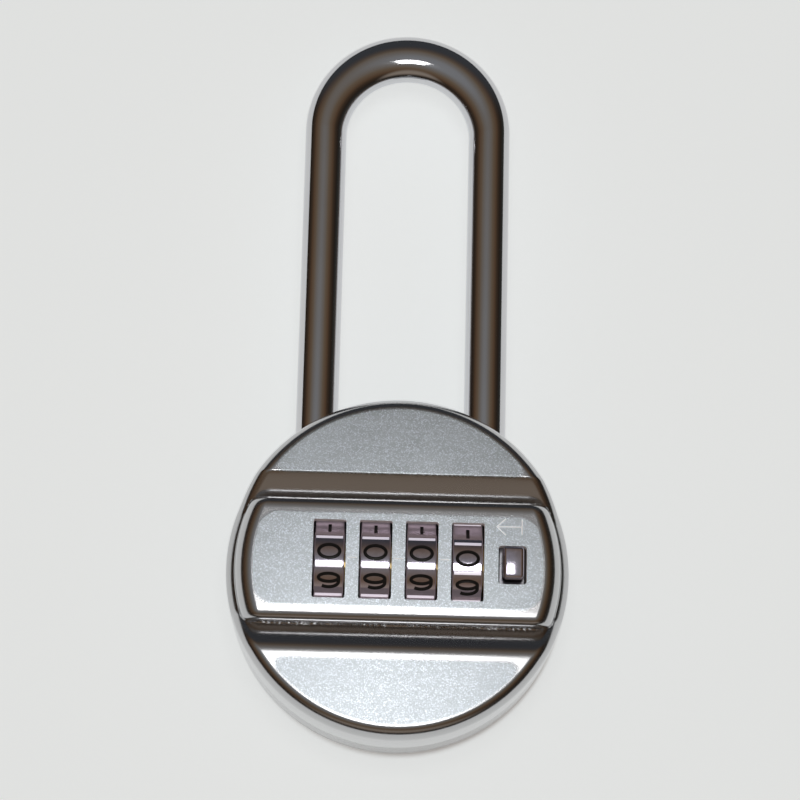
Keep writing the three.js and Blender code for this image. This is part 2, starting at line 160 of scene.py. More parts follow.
def satinSteel():
    look = satinLook
    material, shader, place = newMaterial("satinSteel", look["edgeColour"], look["edgeRoughness"])
    satin = place.node("Attribute", {"attribute_name": "satin"}, {}, out=2)
    grains = place.node("TexVoronoi", {}, {"Vector": place, "Scale": 1 / look["grainSize"]}, out=1)
    grain = grains.node("SeparateColor", {}, {"Color": grains})
    # some grains are painted lighter: painted glints where a flash would catch single grains
    paintedGlints = grain.above(0.55, 1.0)
    cloud = noise(place, 110, 5)
    swirl = noise(stretched(place, (170, 1500, 170)), 1, 4)
    patches = (cloud * 0.6 + swirl * 0.4).above(0.35, 0.68).colours(look["flatColour"], look["patchColour"])
    flat = paintedGlints.colours(patches, look["glintColour"])
    plug(shader, "Base Color", satin.colours(look["edgeColour"], flat))
    flatRoughness = cloud.between(-0.05, 0.05) + swirl.between(-0.03, 0.03) + look["flatRoughness"]
    polished = noise(place, 1500, 2).between(0.0, 0.05) + look["edgeRoughness"]
    plug(shader, "Roughness", satin * (flatRoughness - polished) + polished)
    pits = noise(place, 0.7 / look["grainSize"], 2) * satin
    plug(shader, "Normal", bump(pits, 0.7, look["grainDepth"]))
    return material


chromeLook = {"colour": (0.66, 0.66, 0.68), "roughness": 0.05, "scratchDepth": 0.004 * mm}


def chromePlate():
    look = chromeLook
    material, shader, place = newMaterial("chromePlate", look["colour"], look["roughness"])
    haze = noise(place, 60, 4)
    scratches = noise(stretched(place, (2600, 90, 2600)), 1, 2).above(0.66, 0.74)
    plug(shader, "Roughness", haze.between(0.0, 0.05) + scratches * 0.08 + look["roughness"])
    plug(shader, "Base Color", haze.colours((0.60, 0.60, 0.62), (0.70, 0.70, 0.72)))
    plug(shader, "Normal", bump(noise(place, 420, 2) + scratches * 0.4, 0.25, look["scratchDepth"]))
    return material


dialLook = {"colour": (0.76, 0.71, 0.82), "roughness": 0.06, "paint": (0.012, 0.011, 0.012)}


def dialChrome():
    look = dialLook
    material, shader, place = newMaterial("dialChrome", look["colour"], look["roughness"])
    wear = noise(place, 1400, 3)
    plug(shader, "Roughness", wear.between(0.0, 0.10) + look["roughness"])
    plug(shader, "Base Color", wear.colours((0.64, 0.60, 0.70), (0.84, 0.79, 0.92)))
    plug(shader, "Normal", bump(noise(place, 900, 2), 0.2, 0.01 * mm))
    return material


def dialRidgeHighlight():
    # pale and glowing: a painted highlight along the ridges between number faces; the noise only varies its tone
    material, shader, place = newMaterial("dialRidgeHighlight", (0.9, 0.86, 0.92), 0.3)
    wear = noise(place, 2200, 2)
    plug(shader, "Roughness", wear.between(0.2, 0.45))
    plug(shader, "Base Color", wear.colours((0.82, 0.78, 0.85), (1.0, 0.97, 1.0)))
    shader.inputs["Emission Color"].default_value = (0.88, 0.82, 0.93, 1)
    shader.inputs["Emission Strength"].default_value = 0.65
    return material


def cutEdge():
    # a faint glow paints light onto the cut walls of the openings; the streaks only vary their tone
    material, shader, place = newMaterial("cutEdge", (0.62, 0.56, 0.53), 0.5)
    shader.inputs["Emission Color"].default_value = (0.5, 0.44, 0.42, 1)
    shader.inputs["Emission Strength"].default_value = 0.18
    lines = noise(stretched(place, (200, 200, 5000)), 1, 2)
    plug(shader, "Base Color", lines.colours((0.54, 0.48, 0.45), (0.70, 0.64, 0.60)))
    plug(shader, "Roughness", lines.between(0.35, 0.55))
    return material


def digitPaint():
    material, shader, place = newMaterial("digitPaint", dialLook["paint"], 0.45, metallic=0.0)
    grime = noise(place, 3000, 2)
    plug(shader, "Base Color", grime.colours((0.006, 0.006, 0.006), (0.03, 0.028, 0.028)))
    plug(shader, "Roughness", grime.between(0.3, 0.6))
    return material


def engravedMark():
    # near-white marks whose glow is a painted highlight, for light caught in the cuts
    material, shader, place = newMaterial("engravedMark", (0.92, 0.94, 0.96), 0.5)
    cuts = noise(place, 2500, 2)
    plug(shader, "Base Color", cuts.colours((0.80, 0.83, 0.86), (1.0, 1.0, 1.0)))
    plug(shader, "Roughness", cuts.between(0.35, 0.6))
    shader.inputs["Emission Color"].default_value = (0.9, 0.93, 0.95, 1)
    shader.inputs["Emission Strength"].default_value = 0.35
    return material


def castZinc():
    material, shader, place = newMaterial("castZinc", (0.16, 0.16, 0.165), 0.55)
    skin = noise(place, 900, 5)
    plug(shader, "Base Color", skin.colours((0.10, 0.10, 0.105), (0.24, 0.24, 0.245)))
    plug(shader, "Roughness", skin.between(0.45, 0.7))
    plug(shader, "Normal", bump(skin, 0.5, 0.05 * mm))
    return material


def turnedBrass():
    material, shader, place = newMaterial("turnedBrass", (0.62, 0.46, 0.2), 0.3)
    rings = noise(stretched(place, (9000, 300, 300)), 1, 2)
    plug(shader, "Base Color", rings.colours((0.5, 0.36, 0.14), (0.7, 0.53, 0.26)))
    plug(shader, "Roughness", rings.between(0.2, 0.42))
    return material


def springSteel():
    material, shader, place = newMaterial("springSteel", (0.33, 0.34, 0.36), 0.28)
    scale = noise(place, 1200, 4)
    plug(shader, "Base Color", scale.colours((0.24, 0.25, 0.27), (0.42, 0.42, 0.44)))
    plug(shader, "Roughness", scale.between(0.2, 0.4))
    return material


finishes = {
    "satin_steel": satinSteel(),
    "chrome": chromePlate(),
    "die_cast_zinc": castZinc(),
    "brass": turnedBrass(),
    "spring_steel": springSteel(),
    "dial": dialChrome(),
    "paint": digitPaint(),
    "engraved": engravedMark(),
    "ridge": dialRidgeHighlight(),
    "cut_edge": cutEdge(),
}
for part in frame["record"]["subparts"]:
    node = frame["nodes"][part["node"]]
    node.data.materials.clear()
    node.data.materials.append(finishes[part["material_slot"]])
print("stage: finishes on the carried-over nodes")


# ---- Mesh helpers ----

def pieceFrom(shape, name, materials, body=None, replaces=()):
    mesh = bpy.data.meshes.new(name)
    shape.to_mesh(mesh)
    shape.free()
    piece = bpy.data.objects.new(name, mesh)
    bpy.context.scene.collection.objects.link(piece)
    for material in materials:
        mesh.materials.append(material)
    if body:
        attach(piece, body)
    if replaces:
        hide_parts(*replaces)
    return piece


def cutterFrom(shape, name, finish):
    return pieceFrom(shape, name, [finishes[finish]])


def smoothed(piece, degrees):
    piece.data.shade_smooth()
    piece.data.set_sharp_from_angle(angle=math.radians(degrees))


def turnOutward(shape):
    bmesh.ops.remove_doubles(shape, verts=shape.verts, dist=weldGap)
    bmesh.ops.recalc_face_normals(shape, faces=shape.faces)


# A chain of edges through the points, spun a full turn about the upright axis.
def spunShape(points, steps):
    shape = bmesh.new()
    chain = [shape.verts.new((r, 0, z)) for r, z in points]
    for first, second in zip(chain, chain[1:]):
        shape.edges.new((first, second))
    bmesh.ops.spin(
        shape, geom=[*shape.verts, *shape.edges], cent=(0, 0, 0), axis=(0, 0, 1),
        angle=2 * math.pi, steps=steps, use_merge=True,
    )
    return shape


def roundEdges(shape, edges, radius, segments):
    bmesh.ops.bevel(
        shape, geom=edges, offset=radius, offset_type="OFFSET",
        segments=segments, profile=0.5, affect="EDGES", material=-1,
    )


# A row of edges all the way round the shape, where a plane crosses it.
def rowOfEdges(shape, place, facing, gap=planeGap):
    geometry = [*shape.verts, *shape.edges, *shape.faces]
    bmesh.ops.bisect_plane(shape, geom=geometry, plane_co=place, plane_no=facing, dist=gap)


def plainBlock(low, high):
    shape = bmesh.new()
    bmesh.ops.create_cube(shape, size=1)
    bmesh.ops.scale(shape, vec=Vector(high) - Vector(low), verts=shape.verts)
    bmesh.ops.translate(shape, vec=(Vector(low) + Vector(high)) / 2, verts=shape.verts)
    return shape


# A block with its upright edges rounded, and its top edges too where they are asked for.
def roundedBlock(low, high, radius, segments, topToo=False):
    shape = plainBlock(low, high)
    middle = (low[2] + high[2]) / 2

    def wanted(edge):
        upright = abs((edge.verts[0].co - edge.verts[1].co).z) > (high[2] - low[2]) / 2
        onTop = min(v.co.z for v in edge.verts) > middle
        return upright or (topToo and onTop)

    roundEdges(shape, [e for e in shape.edges if wanted(e)], radius, segments)
    return shape


# A rod that lies along Y when it is turned about X, or along X when it is turned about Y.
def rod(radius, length, middle, turnedAbout="X", segments=64):
    shape = bmesh.new()
    bmesh.ops.create_cone(
        shape, cap_ends=True, segments=segments, radius1=radius, radius2=radius, depth=length,
    )
    bmesh.ops.rotate(shape, matrix=Matrix.Rotation(math.pi / 2, 3, turnedAbout), verts=shape.verts)
    bmesh.ops.translate(shape, vec=middle, verts=shape.verts)
    return shape


def cutWith(piece, cutters, solver="MANIFOLD"):
    for cutter in cutters:
        modifier = piece.modifiers.new("cut", "BOOLEAN")
        modifier.operation = "DIFFERENCE"
        modifier.solver = solver
        if solver == "EXACT":
            modifier.use_self = True
        modifier.material_mode = "TRANSFER"
        modifier.object = cutter
    bpy.context.view_layer.update()
    finished = bpy.data.meshes.new_from_object(piece.evaluated_get(bpy.context.evaluated_depsgraph_get()))
    piece.modifiers.clear()
    piece.data = finished
    for cutter in cutters:
        bpy.data.objects.remove(cutter)


# ---- Places taken from the frame ----

shellLow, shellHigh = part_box("front_shell")
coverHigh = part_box("rear_cover")[1]
joints = {joint["name"]: joint for joint in frame["joints"]}
dialCentres = [Vector(joints[f"dial_{i}_turn"]["pos_m"]) for i in range(1, 5)]
faceZ = shellHigh.z
bodyRadius = shellHigh.x
dialLine = dialCentres[0].y


# ---- Camera, floor and light ----

cameraView = {
    "lens": 115.49,
    "location": (-5.965 * mm, -67.728 * mm, 389.647 * mm),
    "aim": (-0.346 * mm, 24.8 * mm, 21 * mm),
    "roll": 4.984,
    "sensor": 36,
    "nearest": 10 * mm,
}


def addCamera():
    camera = bpy.data.objects.new("camera", bpy.data.cameras.new("camera"))
    bpy.context.scene.collection.objects.link(camera)
    camera.data.lens = cameraView["lens"]
    camera.data.sensor_width = cameraView["sensor"]
    camera.data.clip_start = cameraView["nearest"]
    location = Vector(cameraView["location"])
    facing = (Vector(cameraView["aim"]) - location).to_track_quat("-Z", "Y").to_matrix().to_4x4()
    roll = Matrix.Rotation(math.radians(cameraView["roll"]), 4, "Z")
    camera.matrix_world = Matrix.Translation(location) @ facing @ roll
    bpy.context.scene.camera = camera


floorLook = {
    "size": 3.0,
    "colour": (0.74, 0.765, 0.768),
    "glow": 0.80,
    "shade": (0.14, 0.11, 0.09),
    "shadeReach": 2.0 * mm,
    "shadeRange": (0.34, 0.86),
    "shadeAim": {"X": -0.5, "Y": 0.45, "Z": 0.75},
    "gap": 0.05 * mm,
}


def addFloor():
    look = floorLook
    shape = bmesh.new()
    bmesh.ops.create_grid(shape, x_segments=1, y_segments=1, size=look["size"] / 2)
    bmesh.ops.translate(shape, vec=(0, 0, -look["gap"]), verts=shape.verts)
    material, shader, place = newMaterial("paper", look["colour"], 0.9, metallic=0.0)
    shader.inputs["Specular IOR Level"].default_value = 0.1
    # the shading looks up and away from the lower right, so only that side is shaded
    aim = place.node("CombineXYZ", {}, look["shadeAim"])
    sockets = {"Distance": look["shadeReach"], "Normal": aim}
    openSky = place.node("AmbientOcclusion", {"samples": 12}, sockets, out=1)
    glow = openSky.above(*look["shadeRange"]).colours(look["shade"], look["colour"])
    plug(shader, "Emission Color", glow)
    shader.inputs["Emission Strength"].default_value = look["glow"]
    pieceFrom(shape, "floor", [material])


lightPlan = {
    "overhead": {
        "place": (-1 * mm, 10 * mm, 400 * mm),
        "size": (85 * mm, 90 * mm),
        "power": 0.142,
        "colour": (1.0, 0.995, 0.985),
    },
}


def addLights():
    for name, plan in lightPlan.items():
        light = bpy.data.lights.new(name, "AREA")
        light.shape = "RECTANGLE"
        light.size, light.size_y = plan["size"]
        light.energy = plan["power"]
        light.color = plan["colour"]
        lamp = bpy.data.objects.new(name, light)
        bpy.context.scene.collection.objects.link(lamp)
        lamp.location = plan["place"]


# A dim room: grey overhead, brown at the sides, nearly black at the horizon, lighter behind the camera.
roomLook = {
    "stops": [
        (0.0, (0.30, 0.30, 0.30)),
        (0.50, (0.030, 0.030, 0.027)),
        (0.62, (0.024, 0.017, 0.013)),
        (0.73, (0.050, 0.032, 0.020)),
        (0.81, (0.105, 0.062, 0.036)),
        (0.90, (0.145, 0.105, 0.070)),
        (0.96, (0.175, 0.160, 0.145)),
        (0.99, (0.215, 0.218, 0.225)),
    ],
    "lean": 8,
    "behind": (0.26, 0.215, 0.175),
    "ahead": (0.045, 0.048, 0.053),
}


def addRoom():
    world = bpy.data.worlds.new("room")
    bpy.context.scene.world = world
    world.use_nodes = True
    tree = world.node_tree
    place = Wire(tree).node("TexCoord", {}, {}, out=0)
    across, along, up = (place.node("SeparateXYZ", {}, {"Vector": place}, out=i) for i in range(3))
    lean = math.radians(roomLook["lean"])
    height = up * math.cos(lean) - across * math.sin(lean)
    sky = height.node("ValToRGB", {"stops": roomLook["stops"]}, {"Fac": height * 0.5 + 0.5})
    behind = (along * -1).above(0.66, 0.84) * up.above(0.15, 0.45)
    sky = behind.colours(sky, roomLook["behind"])
    sky = along.above(0.45, 0.85).colours(sky, roomLook["ahead"])
    tree.links.new(sky.socket, tree.nodes["Background"].inputs["Color"])


addCamera()
addFloor()
addLights()
addRoom()
bpy.context.scene.view_settings.view_transform = "Standard"
print("stage: camera, floor and light")


# ---- Front shell ----

shellForm = {
    "grooveDepth": 2.5 * mm,
    "middlePad": {"flatHalf": 7.0 * mm, "run": 2.3 * mm, "drop": 2.6 * mm, "power": 3.4},
    "middleRim": {"flatRadius": 21.4 * mm, "run": 2.6 * mm, "drop": 3.4 * mm, "power": 2.0},
    "upperPad": {"flatFrom": 13.05 * mm, "slope": 0.64, "round": 0.25 * mm, "power": 2},
    "lowerPad": {"flatFrom": 14.5 * mm, "slope": 0.74, "round": 2.2 * mm, "power": 4},
    "outerRim": {"flatRadius": 23.4 * mm, "run": 1.9 * mm, "drop": 2.6 * mm, "power": 2.0},
    "baseRim": {"flatRadius": 19.0 * mm, "run": 6.4 * mm, "drop": 3.6 * mm, "power": 2.2},
    "grooveLines": [line * mm for line in (8.0, 8.4, 8.8, 9.0, 9.15, 9.3, 9.5, 9.9, 13.05, 13.3)],
    "blend": 0.4 * mm,
    "cornerRound": 2.4 * mm,
    "satinEdge": (-0.25 * mm, 0.1 * mm),
    "satinPastUpperPad": 0.5 * mm,
    "wall": 1.2 * mm,
    "plate": 1.5 * mm,
    "sideDrop": 8.5 * mm,
    "foot": {"up": 0.35 * mm, "in": 0.3 * mm},
    "footMiddle": 0.1 * mm,
    "pocket": {"halfWidth": 19 * mm, "halfHeight": 7 * mm, "reach": 5 * mm, "corner": 0.5 * mm},
    "sectors": 360,
    "innerRings": 60,
    "outerRings": 36,
    "innerReach": 19 * mm,
    "crowding": 1.6,
    "edgeGap": 0.02 * mm,
    "onFace": 0.03 * mm,
}


# 0 up to the flat's edge, then rounded over to a steep wall near the end of its run.
def roundedDrop(reach, form):
    lastShare, wallSlope = 0.995, 40 * mm
    share = reach / form["run"]
    power = form["power"]
    if share <= 0:
        return 0.0
    curved = form["drop"] * (1 - (1 - min(share, lastShare) ** power) ** (1 / power))
    return curved + max(0.0, share - lastShare) * wallSlope


# 0 up to the flat's edge, then rounded into a straight slope.
def slopedDrop(reach, form):
    if reach <= 0:
        return 0.0
    power = form["power"]
    return form["slope"] * ((reach ** power + form["round"] ** power) ** (1 / power) - form["round"])


# The lower of two drops, with a soft change from one to the other.
def blendedLow(first, second, width):
    gap = max(0.0, width - abs(first - second)) / width
    return min(first, second) - gap * gap * width / 4


# A pad falls away past its side and past its rim. Its satin stops at a rounded corner between them.
def padDrop(side, rim, sideFall, rimFall):
    corner = shellForm["cornerRound"]
    outside = math.hypot(max(0.0, side + corner), max(0.0, rim + corner)) - corner
    return sideFall(side) + rimFall(rim), outside


# How far the face lies below its flats at a point, and how far the point is outside the nearest flat.
def faceDrop(x, y):
    form = shellForm
    radius = math.hypot(x, y)
    offset = abs(y - dialLine)
    upper = y > dialLine
    outerForm = form["upperPad"] if upper else form["lowerPad"]
    middle, pastMiddle = padDrop(
        offset - form["middlePad"]["flatHalf"], radius - form["middleRim"]["flatRadius"],
        lambda reach: roundedDrop(reach, form["middlePad"]),
        lambda reach: roundedDrop(reach, form["middleRim"]),
    )
    outer, pastOuter = padDrop(
        outerForm["flatFrom"] - offset, radius - form["outerRim"]["flatRadius"],
        lambda reach: slopedDrop(reach, outerForm),
        lambda reach: roundedDrop(reach, form["outerRim"]),
    )
    base = form["grooveDepth"] + roundedDrop(radius - form["baseRim"]["flatRadius"], form["baseRim"])
    if upper:
        pastOuter -= form["satinPastUpperPad"]
    pads = blendedLow(middle, outer, form["blend"])
    return blendedLow(pads, base, form["blend"]), min(pastMiddle, pastOuter)


# Even rings over the middle of the face, then rings that crowd towards the rim, where it turns down.
def shellProfile():
    form = shellForm
    near, reach = form["innerReach"], bodyRadius - form["edgeGap"]
    inner = [near * i / form["innerRings"] for i in range(form["innerRings"] + 1)]
    shares = [1 - (1 - i / form["outerRings"]) ** form["crowding"] for i in range(1, form["outerRings"] + 1)]
    return inner + [near + (reach - near) * share for share in shares]


# The face's own slope gives every corner on it its shading direction.
def faceNormal(x, y):
    step = 0.01 * mm
    rise = (faceDrop(x + step, y)[0] - faceDrop(x - step, y)[0]) / (2 * step)
    along = (faceDrop(x, y + step)[0] - faceDrop(x, y - step)[0]) / (2 * step)
    return Vector((rise, along, 1)).normalized()


# Marks the satin flats, and gives the face its shading directions.
def finishFace(shell):
    edgeLow, edgeHigh = shellForm["satinEdge"]
    mesh = shell.data
    satin = mesh.attributes.new("satin", "FLOAT", "POINT")
    slopes = {}
    for i, vert in enumerate(mesh.vertices):
        drop, outside = faceDrop(vert.co.x, vert.co.y)
        onFace = abs(faceZ - drop - vert.co.z) < shellForm["onFace"]
        share = (edgeHigh - outside) / (edgeHigh - edgeLow)
        satin.data[i].value = min(1.0, max(0.0, share)) if onFace else 0.0
        if onFace:
            slopes[i] = faceNormal(vert.co.x, vert.co.y)
    normals = [Vector() for _ in mesh.loops]
    for face in mesh.polygons:
        for corner in face.loop_indices:
            slope = slopes.get(mesh.loops[corner].vertex_index)
            if slope and slope.dot(face.normal) > 0.7:
                normals[corner] = slope
    mesh.normals_split_custom_set(normals)


def frontShell():
    form = shellForm
    shape = spunShape([(radius, faceZ) for radius in shellProfile()], form["sectors"])
    bmesh.ops.remove_doubles(shape, verts=shape.verts, dist=weldGap)
    # rows of edges follow each groove's shoulders and foot
    for line in form["grooveLines"]:
        for side in (-1, 1):
            rowOfEdges(shape, (0, dialLine + side * line, 0), (0, 1, 0), gap=2 * weldGap)
    for vert in shape.verts:
        vert.co.z = faceZ - faceDrop(vert.co.x, vert.co.y)[0]
    edgeLoop = [e for e in shape.edges if e.is_boundary]

    def carryDown(edges, radius, z):
        made = bmesh.ops.extrude_edge_only(shape, edges=edges)["geom"]
        for vert in (g for g in made if isinstance(g, bmesh.types.BMVert)):
            flat = Vector((vert.co.x, vert.co.y)).normalized() * radius
            vert.co = (flat.x, flat.y, z)
        return [g for g in made if isinstance(g, bmesh.types.BMEdge)]

    inside = bodyRadius - form["wall"]
    underside = faceZ - form["grooveDepth"] - form["plate"]
    foot, footMiddle = form["foot"], form["footMiddle"]
    section = [
        (bodyRadius, faceZ - form["sideDrop"]),
        (bodyRadius, shellLow.z + foot["up"]),
        (bodyRadius - footMiddle, shellLow.z + footMiddle),
        (bodyRadius - foot["in"], shellLow.z),
        (inside, shellLow.z),
        (inside, underside),
    ]
    for radius, z in section:
        edgeLoop = carryDown(edgeLoop, radius, z)
    bmesh.ops.contextual_create(shape, geom=edgeLoop)
    turnOutward(shape)
    materials = [finishes["satin_steel"], finishes["engraved"], finishes["cut_edge"]]
    shell = pieceFrom(shape, "frontShellFine", materials, "casing", ["front_shell"])
    cutWith(shell, [padPocket(), slotCutter()] + legHoleCutters() + windowCutters())
    cutWith(shell, [engraving()], solver="EXACT")
    smoothed(shell, 32)
    finishFace(shell)


# Index lines between the windows and an arrow that shows which way the button slides.
markForm = {
    "stroke": 0.11 * mm,
    "lift": 0.02 * mm,
    "indexY": 0.95 * mm,
    "indexGap": 0.25 * mm,
    "arrowTip": (14.3 * mm, 6.1 * mm),
    "arrowTail": 18.0 * mm,
    "headRun": 1.3 * mm,
    "headHalf": 1.2 * mm,
    "barHalf": 1.15 * mm,
}


# Round strokes along the lines, as one solid that can be cut away.
def tubeSolid(name, lines, radius, material):
    curve = bpy.data.curves.new(name, "CURVE")
    curve.dimensions = "3D"
    curve.bevel_depth = radius
    curve.bevel_resolution = 2
    curve.use_fill_caps = True
    for line in lines:
        spline = curve.splines.new("POLY")
        closed = (Vector(line[0]) - Vector(line[-1])).length < weldGap
        points = line[:-1] if closed else line
        spline.points.add(len(points) - 1)
        spline.use_cyclic_u = closed
        for point, place in zip(spline.points, points):
            point.co = (*place, 1)
    tube = bpy.data.objects.new(name, curve)
    bpy.context.scene.collection.objects.link(tube)
    mesh = bpy.data.meshes.new_from_object(tube)
    bpy.data.objects.remove(tube)
    mesh.materials.clear()
    mesh.materials.append(material)
    made = bpy.data.objects.new(name + "Solid", mesh)
    bpy.context.scene.collection.objects.link(made)
    return made


def engraving():
    form = markForm
    height = faceZ + form["lift"]
    lines = []
    for left, right in zip(dialCentres, dialCentres[1:]):
        start = left.x + windowForm["halfWidth"] + form["indexGap"]
        end = right.x - windowForm["halfWidth"] - form["indexGap"]
        lines.append([(start, form["indexY"], height), (end, form["indexY"], height)])
    tipX, tipY = form["arrowTip"]
    tail = form["arrowTail"]
    headX = tipX + form["headRun"]
    lines.append([(tipX, tipY, height), (tail, tipY, height)])
    lines.append([(tail, tipY - form["barHalf"], height), (tail, tipY + form["barHalf"], height)])
    head = form["headHalf"]
    lines.append([(headX, tipY + head, height), (tipX, tipY, height), (headX, tipY - head, height)])
    return tubeSolid("marks", lines, form["stroke"], finishes["engraved"])


windowForm = {"halfWidth": 2.41 * mm, "halfHeight": 5.8 * mm, "corner": 0.3 * mm}
slotForm = {"centre": (16.68 * mm, 0.45 * mm), "size": (4.15 * mm, 5.7 * mm), "corner": 0.5 * mm}
openingDepth = (faceZ - 3 * mm, faceZ + 1 * mm)


def openingCutter(name, centre, size, corner, segments):
    (x, y), (width, height) = centre, size
    low = (x - width / 2, y - height / 2, openingDepth[0])
    high = (x + width / 2, y + height / 2, openingDepth[1])
    return cutterFrom(roundedBlock(low, high, corner, segments), name, "cut_edge")


def windowCutters():
    size = (2 * windowForm["halfWidth"], 2 * windowForm["halfHeight"])
    return [
        openingCutter(f"windowCutter{i}", (centre.x, dialLine), size, windowForm["corner"], 3)
        for i, centre in enumerate(dialCentres)
    ]


def slotCutter():
    return openingCutter("slotCutter", slotForm["centre"], slotForm["size"], slotForm["corner"], 4)


# The room under the middle pad, which leaves the face a plate's thickness.
def padPocket():
    form = shellForm["pocket"]
    low = (-form["halfWidth"], dialLine - form["halfHeight"], faceZ - form["reach"])
    high = (form["halfWidth"], dialLine + form["halfHeight"], faceZ - shellForm["plate"])
    return cutterFrom(roundedBlock(low, high, form["corner"], 2), "padPocket", "cut_edge")


shackleForm = {
    "wire": 3.2 * mm,
    "halfSpacing": 12.7 * mm,
    "holeGap": 0.25 * mm,
    "holeMiddle": 22 * mm,
    "holeLength": 14 * mm,
    "toeRise": 7.7 * mm,
    "crownSwell": 0.15,
    "crownThin": 0.14,
    "sides": 48,
    "arcSteps": 72,
    "chamfer": 0.6 * mm,
    "boreRadius": 1.5 * mm,
    "boreDepth": 7.0 * mm,
    "heelShoulder": 0.8 * mm,
    "heelFlat": 2.0 * mm,
    "pinGap": 0.2 * mm,
    "notchLow": 1.2 * mm,
    "notchHeight": 2.1 * mm,
    "notchDepth": 1.2 * mm,
}
shackleLow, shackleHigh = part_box("shackle")
legZ = (shackleLow.z + shackleHigh.z) / 2
archY = shackleHigh.y - shackleForm["halfSpacing"] - shackleForm["wire"] * (1 + shackleForm["crownSwell"])


def legHoleCutters():
    form = shackleForm
    cutters = []
    for i, side in enumerate((-1, 1)):
        middle = (side * form["halfSpacing"], form["holeMiddle"], legZ)
        hole = rod(form["wire"] + form["holeGap"], form["holeLength"], middle)
        cutters.append(cutterFrom(hole, f"legHole{i}", "cut_edge"))
    return cutters


frontShell()
print("stage: front shell")


# ---- Rear cover ----

coverForm = {
    "rimRadius": 3.2 * mm,
    "rimTurn": 84,
    "rimSteps": 12,
    "ringRadius": 18.5 * mm,
    "ringDepth": 0.25 * mm,
    "ringWidth": 0.8 * mm,
    "lipIn": 0.25 * mm,
    "lipDown": 0.12 * mm,
    "lipMiddle": 0.06 * mm,
    "wall": 1.4 * mm,
    "floor": 1.2 * mm,
    "satinHeight": 0.05 * mm,
    "sectors": 256,
}


def rearCover():
    form = coverForm
    top = coverHigh.z
    ring, width, depth = form["ringRadius"], form["ringWidth"], form["ringDepth"]
    outline = [(0, 0), (ring, 0), (ring + width / 2, depth), (ring + width, 0)]
    rim = form["rimRadius"]
    centre = bodyRadius - rim
    for i in range(form["rimSteps"] + 1):
        angle = math.radians(-90 + form["rimTurn"] * i / form["rimSteps"])
        outline.append((centre + rim * math.cos(angle), rim * (1 + math.sin(angle))))
    inside = bodyRadius - form["wall"]
    outline += [(bodyRadius - form["lipMiddle"], top - form["lipDown"]), (bodyRadius - form["lipIn"], top)]
    outline += [(inside, top), (inside, form["floor"]), (0, form["floor"])]
    shape = spunShape(outline, form["sectors"])
    turnOutward(shape)
    satinSteelOnly = [finishes["satin_steel"]]
    cover = pieceFrom(shape, "rearCoverFine", satinSteelOnly, "casing", ["rear_cover"])
    satin = cover.data.attributes.new("satin", "FLOAT", "POINT")
    for i, vert in enumerate(cover.data.vertices):
        onBack = vert.co.z < form["satinHeight"] and math.hypot(vert.co.x, vert.co.y) < centre
        satin.data[i].value = 1.0 if onBack else 0.0
    smoothed(cover, 32)


rearCover()
print("stage: rear cover")


# ---- Shackle ----

# A straight upright bar is cut into rings, then wrapped round the U.
def bentShackle():
    form = shackleForm
    heelY = shackleLow.y
    toeY = heelY + form["toeRise"]
    arc = math.pi * form["halfSpacing"]
    heelLeg, toeLeg = archY - heelY, archY - toeY
    total = heelLeg + arc + toeLeg
    shape = bmesh.new()
    bmesh.ops.create_cone(
        shape, cap_ends=True, segments=form["sides"], radius1=form["wire"], radius2=form["wire"], depth=total,
    )
    bmesh.ops.translate(shape, vec=(0, 0, total / 2), verts=shape.verts)
    ends = [face for face in shape.faces if len(face.verts) > 4]
    roundEdges(shape, [edge for face in ends for edge in face.edges], form["chamfer"], 3)
    cuts = [heelLeg + arc * i / form["arcSteps"] for i in range(form["arcSteps"] + 1)]
    # two rings near each end keep its rounding out of the leg's shading
    cuts += [share * form["chamfer"] for share in (2, 3)]
    cuts += [total - share * form["chamfer"] for share in (2, 3)]
    for height in cuts:
        rowOfEdges(shape, (0, 0, height), (0, 0, 1))
    for vert in shape.verts:
        outward, across, along = vert.co
        angle = math.pi - (along - heelLeg) / form["halfSpacing"]
        press = math.sin(min(math.pi, max(0.0, angle)))
        reach = form["halfSpacing"] + outward * (1 + form["crownSwell"] * press)
        across *= 1 - form["crownThin"] * press
        if angle > math.pi:
            vert.co = (-reach, heelY + along, legZ + across)
        elif angle < 0:
            vert.co = (reach, toeY + total - along, legZ + across)
        else:
            vert.co = (reach * math.cos(angle), archY + reach * math.sin(angle), legZ + across)
    turnOutward(shape)
    shackle = pieceFrom(shape, "shackleFine", [finishes["chrome"]], "shackle", ["shackle"])
    cutWith(shackle, shackleCutters(heelY, toeY))
    smoothed(shackle, 40)


# The heel is bored for its spring and flattened for its pin, and the toe is notched for the slide's nose.
def shackleCutters(heelY, toeY):
    form = shackleForm
    wire, half = form["wire"], form["halfSpacing"]
    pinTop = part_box("heel_pin")[1].y
    flatLow = (-half - 2 * wire, heelY + form["heelShoulder"], 0)
    flatHigh = (-half + 2 * wire, pinTop + form["pinGap"], legZ - form["heelFlat"])
    notch = toeY + form["notchLow"]
    notchLow = (half - 2 * wire, notch, legZ - 2 * wire)
    notchHigh = (half - wire + form["notchDepth"], notch + form["notchHeight"], legZ + 2 * wire)
    bore = rod(form["boreRadius"], 2 * form["boreDepth"], (-half, heelY, legZ))
    return [
        cutterFrom(bore, "heelBore", "chrome"),
        cutterFrom(plainBlock(flatLow, flatHigh), "heelFlat", "chrome"),
        cutterFrom(plainBlock(notchLow, notchHigh), "toeNotch", "chrome"),
    ]


bentShackle()
print("stage: shackle")


# ---- Dials ----

dialForm = {
    "cornerRadius": 7.2 * mm,
    "width": 4.4 * mm,
    "bore": 4.2 * mm,
    "ridgeRound": 0.24 * mm,
    "restTurns": [9, 9, 9, 4],
    "digitHalfWidth": 1.55 * mm,
    "digitHalfHeight": 1.02 * mm,
    "strokeRadius": 0.27 * mm,
    "strokeLift": 0.06 * mm,
    "bulge": 0.8,
}
digitCount = 10
facetAngle = 360 / digitCount
facetReach = dialForm["cornerRadius"] * math.cos(math.pi / digitCount)


